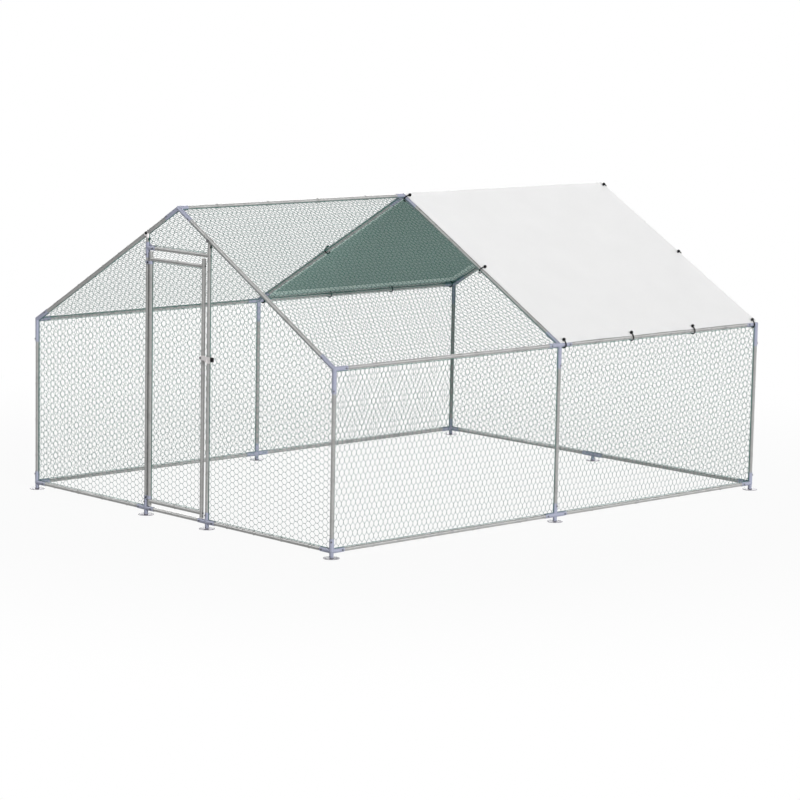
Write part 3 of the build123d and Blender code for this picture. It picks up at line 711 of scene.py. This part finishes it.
class RUN_OT_cover(bpy.types.Operator):
    """Lay the sheet over the rear bay, drawn tight by its ties"""

    bl_idname = "run.cover"
    bl_label = "Roof sheet"

    def execute(self, context):
        sizes = context.scene.run_settings.cover
        low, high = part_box("roof_cover")
        offset = (high.z - ridge_z) * math.cos(slope) - sizes.thickness
        reach = slope_length + (high.x - half_width - offset * math.sin(slope)) / math.cos(slope)
        fold = offset * 2 * slope
        width = 2 * reach + fold
        length = high.y - low.y
        plan = SheetPlan(offset, reach, fold, length, low.y)
        sheet = self.flat_sheet(sizes, width, length)
        ties = self.tie_places(plan)
        for vertex in sheet.data.vertices:
            vertex.co = self.hang(vertex.co.copy(), sizes, plan, ties)
        self.thicken(sheet, sizes)
        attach(sheet, "frame")
        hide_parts("roof_cover")
        return {"FINISHED"}

    def flat_sheet(self, sizes, width, length):
        """The sheet laid out flat, with its places kept as a UV map and its hem marked."""
        bpy.ops.object.select_all(action="DESELECT")
        bpy.ops.mesh.primitive_grid_add(
            x_subdivisions=round(width / sizes.grid), y_subdivisions=round(length / sizes.grid), size=1)
        sheet = bpy.context.active_object
        sheet.name = "roof_sheet"
        sheet.data.name = "roof_sheet"
        sheet.scale = (width, length, 1)
        settle(sheet)
        flat = sheet.data.uv_layers.active
        flat.name = "flat"
        for loop in sheet.data.loops:
            flat.data[loop.index].uv = sheet.data.vertices[loop.vertex_index].co.xy

        def in_hem(place):
            return min(width / 2 - abs(place.x), length / 2 - abs(place.y)) < sizes.hem

        for face in sheet.data.polygons:
            face.material_index = HEM_MATERIAL if in_hem(face.center) else MIDDLE_MATERIAL
        hem = sheet.vertex_groups.new(name="hem")
        for vertex in sheet.data.vertices:
            hem.add([vertex.index], 1.0 if in_hem(vertex.co) else 0.5, "REPLACE")
        return sheet

    def thicken(self, sheet, sizes):
        """Give the sheet its thickness, which is double in the hem, and its materials, the hem's lower face
        paler partly with painted light.
        """
        wall = sheet.modifiers.new("thickness", "SOLIDIFY")
        wall.thickness = sizes.thickness * 2
        wall.offset = -1
        wall.vertex_group = "hem"
        wall.material_offset = 1
        wall.material_offset_rim = 0
        top = woven_sheet("sheet_top", sizes.top, sizes.thread)
        under = woven_sheet("sheet_under", sizes.under, sizes.thread)
        # The hem's paler lower face is partly painted light
        under_hem_painted_light = woven_sheet("sheet_under_hem", sizes.under_hem_painted_light, sizes.thread)
        for material in (top, under, top, under_hem_painted_light):
            sheet.data.materials.append(material)
        apply_modifiers(sheet)
        bpy.ops.object.shade_smooth_by_angle(angle=math.radians(40))

    def tie_places(self, plan):
        """The eyelets' places on the flat sheet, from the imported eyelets."""
        places = []
        for eyelet in loose_parts(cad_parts["cover_eyelets"]):
            across = abs(eyelet.x) * math.cos(slope) + (ridge_z - eyelet.z) * math.sin(slope)
            side = 1 if eyelet.x > 0 else -1
            along = eyelet.y - plan.front_edge - plan.length / 2
            places.append(Vector((side * (across + plan.fold / 2), along)))
        return places

    def hang(self, point, sizes, plan, ties):
        """Move a point of the flat sheet to its place on the roof."""
        side = 1 if point.x >= 0 else -1
        bent = min(abs(point.x), plan.fold / 2)
        run = abs(point.x) - bent
        turn = bent / plan.offset
        along = point.y / plan.length + 0.5
        lift = -sizes.sag * math.sin(math.pi * run / plan.reach) * math.sin(math.pi * along)
        for tie in ties:
            away = point.xy - tie
            fade = math.exp(-away.length / CREASE_REACH) * min(1.0, away.length / CREASE_START)
            lift += sizes.pucker * fade * (0.5 + 0.5 * math.cos(CREASES * math.atan2(away.y, away.x)))
        edge = self.draw_in(point, sizes, plan, ties)
        normal = Vector((side * math.sin(turn), 0, math.cos(turn)))
        down = Vector((side * math.cos(turn), 0, -math.sin(turn)))
        foot = Vector((0, plan.front_edge + plan.length / 2 + point.y + edge.y, ridge_z))
        return foot + normal * (plan.offset + sizes.thickness + lift) + down * (run + edge.x)

    def draw_in(self, point, sizes, plan, ties):
        """How far the sheet's edge is drawn in between two ties, down the slope and along the ridge."""
        nearest = min((point.xy - tie).length for tie in ties)
        pull = sizes.scallop * (1 - math.exp(-nearest / TIE_REACH))
        side_edge = math.exp((abs(point.x) - plan.reach - plan.fold / 2) / EDGE_REACH)
        end_edge = math.exp((abs(point.y) - plan.length / 2) / EDGE_REACH)
        toward = -1 if point.y > 0 else 1
        return Vector((-pull * side_edge, toward * pull * end_edge))


def loose_parts(node):
    """The middle of each separate solid in a CAD node."""
    mesh = node.data
    owner = list(range(len(mesh.vertices)))
    places = {}
    for vertex in mesh.vertices:
        key = tuple(round(part, SAME_PLACE_DIGITS) for part in vertex.co)
        owner[vertex.index] = places.setdefault(key, vertex.index)

    def root(index):
        while owner[index] != index:
            owner[index] = owner[owner[index]]
            index = owner[index]
        return index

    for face in mesh.polygons:
        first = root(face.vertices[0])
        for index in face.vertices[1:]:
            owner[root(index)] = first
    groups = {}
    for vertex in mesh.vertices:
        groups.setdefault(root(vertex.index), []).append(vertex.co)
    middles = []
    for points in groups.values():
        low = Vector(min(p[axis] for p in points) for axis in range(3))
        high = Vector(max(p[axis] for p in points) for axis in range(3))
        middles.append((low + high) / 2)
    return middles


class RUN_OT_ball_ties(bpy.types.Operator):
    """Finish the balls and eyelets that hold the roof sheet, and loop their elastic cords round the tubes"""

    bl_idname = "run.ball_ties"
    bl_label = "Ball ties"

    def execute(self, context):
        metal = context.scene.run_settings.metal
        sizes = context.scene.run_settings.ties
        glossy = black_finish("tie_ball", metal.black, rough=0.18, grain_scale=800.0, grain_depth=0.0001)
        dress(glossy, "tie_balls")
        pressed = galvanised("pressed_eyelet", metal.eyelet, cell_scale=500.0, metallic=0.8, rough=0.25)
        dress(pressed, "cover_eyelets")
        elastic = black_finish("elastic_cord", metal.black, rough=0.6, grain_scale=900.0, grain_depth=0.0006)
        eyelets = loose_parts(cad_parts["cover_eyelets"])
        for number, ball in enumerate(loose_parts(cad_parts["tie_balls"]), 1):
            side = 1 if ball.x > 0 else -1
            normal = Vector((side * math.sin(slope), 0, math.cos(slope)))
            away = min((eyelet - ball for eyelet in eyelets), key=lambda gap: gap.length)
            inward = (away - normal * away.dot(normal)).normalized()
            axis = ball - inward * sizes.ball_inset - normal * sizes.ball_height
            self.cord(f"tie_cord_{number}", sizes, axis, inward, normal, elastic)
        return {"FINISHED"}

    def cord(self, name, sizes, axis, inward, normal, elastic):
        """A cord out of a ball, through the eyelet, round the tube, over the sheet's edge and back."""
        reach = math.hypot(sizes.ball_inset, sizes.ball_height)
        bearing = math.atan2(sizes.ball_height, sizes.ball_inset)
        lean = math.asin(sizes.turn / reach)
        turned = math.pi + 2 * lean
        step = turned / sizes.corners

        def place(radius, angle):
            return axis + inward * (radius * math.cos(angle)) + normal * (radius * math.sin(angle))

        ball = place(reach, bearing)
        ends = [ball + place(sizes.hold, bearing + math.pi + way * lean) - axis for way in (1, -1)]
        first = bearing - math.pi / 2 + lean
        corners = [place(sizes.turn / math.cos(step / 2), first - step * (corner + 0.5))
                   for corner in range(sizes.corners)]
        route = [ends[0], *corners, ends[1]]
        line = bpy.data.curves.new(name, "CURVE")
        line.dimensions = "3D"
        line.bevel_depth = sizes.cord / 2
        line.bevel_resolution = 3
        line.use_fill_caps = True
        spline = line.splines.new("NURBS")
        spline.points.add(len(route) - 1)
        for point, corner in zip(spline.points, route):
            point.co = (*corner, 1.0)
        spline.order_u = 3
        spline.use_endpoint_u = True
        line.materials.append(elastic)
        piece = bpy.data.objects.new(name, line)
        bpy.context.scene.collection.objects.link(piece)
        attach(piece, "frame")
        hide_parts("tie_loops")
        length = 2 * (reach * math.cos(lean) - sizes.hold) + sizes.turn * turned


def direction(azimuth, elevation):
    """The way to a place at a turn from the front to the right and a height over the floor."""
    level = math.cos(elevation)
    return Vector((math.sin(azimuth) * level, -math.cos(azimuth) * level, math.sin(elevation)))


class RUN_OT_stage(bpy.types.Operator):
    """Set up the floor, the lamps, the white background and the camera"""

    bl_idname = "run.stage"
    bl_label = "Stage"

    def execute(self, context):
        sizes = context.scene.run_settings.stage
        context.scene.view_settings.view_transform = "Standard"
        self.floor(sizes)
        self.world(context, sizes)
        self.lamp("key_light", sizes.key, sizes.key_azimuth, sizes.key_elevation, sizes.key_spread)
        self.lamp("fill_light", sizes.fill, sizes.fill_azimuth, sizes.fill_elevation, sizes.fill_spread)
        left = self.lamp("left_strip", sizes.left, sizes.left_azimuth, sizes.left_elevation,
                         sizes.left_spread)
        right = self.lamp("right_strip", sizes.right, sizes.right_azimuth, sizes.right_elevation,
                          sizes.right_spread)
        for strip in (left, right):
            strip.visible_diffuse = False
        self.lamp("top_light", sizes.top, 0.0, math.pi / 2, sizes.top_spread)
        self.camera(context, sizes)
        return {"FINISHED"}

    def floor(self, sizes):
        """A pale floor just under the feet, which keeps the shadow and turns white further out."""
        bpy.ops.object.select_all(action="DESELECT")
        bpy.ops.mesh.primitive_plane_add(size=FLOOR_SIZE, location=(0, 0, -FLOOR_GAP))
        floor = bpy.context.active_object
        floor.name = "floor"
        finish = Finish(bpy.data.materials.new("floor"))
        finish.shader(base_color=opaque(sizes.floor), roughness=0.9, specular_ior_level=0.0)
        place = finish.place()
        away = finish.node("ShaderNodeVectorMath", {"operation": "LENGTH"}, {0: place}, "Value")
        far = finish.node("ShaderNodeMapRange", {"interpolation_type": "SMOOTHSTEP"},
                          {"Value": away, "From Min": SHADOW_NEAR, "From Max": SHADOW_FAR})
        glow = self.strength(finish, sizes.floor_glow)
        white = finish.node("ShaderNodeEmission", None, {"Color": WHITE, "Strength": glow})
        share = 1 - (1 - far) * sizes.shadow
        base = Signal(finish, finish.tree.nodes["Principled BSDF"].outputs[0])
        mixed = finish.node("ShaderNodeMixShader", None, {0: share, 1: base, 2: white})
        finish.feed(finish.tree.nodes["Material Output"].inputs["Surface"], mixed)
        floor.data.materials.append(finish.owner)

    def world(self, context, sizes):
        """White for what the camera and reflections see, and a softer light on everything else."""
        finish = Finish(bpy.data.worlds.new("studio"))
        context.scene.world = finish.owner
        background = finish.tree.nodes["Background"]
        finish.feed(background.inputs["Color"], WHITE)
        finish.feed(background.inputs["Strength"], self.strength(finish, sizes.ambient))

    def strength(self, finish, rest):
        """Full strength for what the camera sees, in reflections and glass too, and less for other rays."""
        seen = finish.node("ShaderNodeLightPath", output="Is Camera Ray")
        seen = seen + finish.node("ShaderNodeLightPath", output="Is Glossy Ray")
        seen = seen + finish.node("ShaderNodeLightPath", output="Is Transmission Ray")
        return seen * (1 - rest) + rest

    def lamp(self, name, level, azimuth, elevation, spread):
        """A broad, distant lamp that lights a white face turned to it to a level."""
        light = bpy.data.lights.new(name, "SUN")
        light.energy = level * math.pi
        light.angle = spread
        lamp = bpy.data.objects.new(name, light)
        bpy.context.scene.collection.objects.link(lamp)
        towards = direction(azimuth, elevation)
        lamp.location = towards * LAMP_DISTANCE
        lamp.rotation_euler = towards.to_track_quat("Z", "Y").to_euler()
        return lamp

    def camera(self, context, sizes):
        """A long lens at the photograph's angle."""
        camera = bpy.data.objects.new("camera", bpy.data.cameras.new("camera"))
        context.scene.collection.objects.link(camera)
        camera.data.lens = sizes.lens
        camera.data.sensor_width = 36.0
        back = direction(sizes.azimuth, sizes.elevation)
        level = (-back).cross(Vector((0, 0, 1))).normalized()
        upright = level.cross(-back)
        right = level * math.cos(sizes.roll) + upright * math.sin(sizes.roll)
        up = upright * math.cos(sizes.roll) - level * math.sin(sizes.roll)
        turn = Matrix((right, up, back)).transposed().to_4x4()
        camera.matrix_world = Matrix.Translation(Vector(sizes.eye)) @ turn
        context.scene.camera = camera


OPERATORS = (RUN_OT_tubes, RUN_OT_connectors, RUN_OT_netting, RUN_OT_cover, RUN_OT_ball_ties, RUN_OT_stage)


class RUN_PT_panel(bpy.types.Panel):
    """The run's pieces, in the order that they are made"""

    bl_idname = "RUN_PT_panel"
    bl_label = "Poultry Run"
    bl_space_type = "VIEW_3D"
    bl_region_type = "UI"
    bl_category = "Poultry Run"

    def draw(self, context):
        for operator in OPERATORS:
            self.layout.operator(operator.bl_idname)


CLASSES = (
    NettingSettings, CoverSettings, TieSettings, MetalSettings, StageSettings, RunSettings, *OPERATORS,
    RUN_PT_panel,
)


def register():
    for item in CLASSES:
        bpy.utils.register_class(item)
    bpy.types.Scene.run_settings = PointerProperty(type=RunSettings)


def unregister():
    del bpy.types.Scene.run_settings
    for item in reversed(CLASSES):
        bpy.utils.unregister_class(item)


def main():
    """Make every piece in order."""
    register()
    bpy.ops.run.tubes()
    bpy.ops.run.connectors()
    bpy.ops.run.netting()
    bpy.ops.run.cover()
    bpy.ops.run.ball_ties()
    bpy.ops.run.stage()


if __name__ == "__main__":
    main()
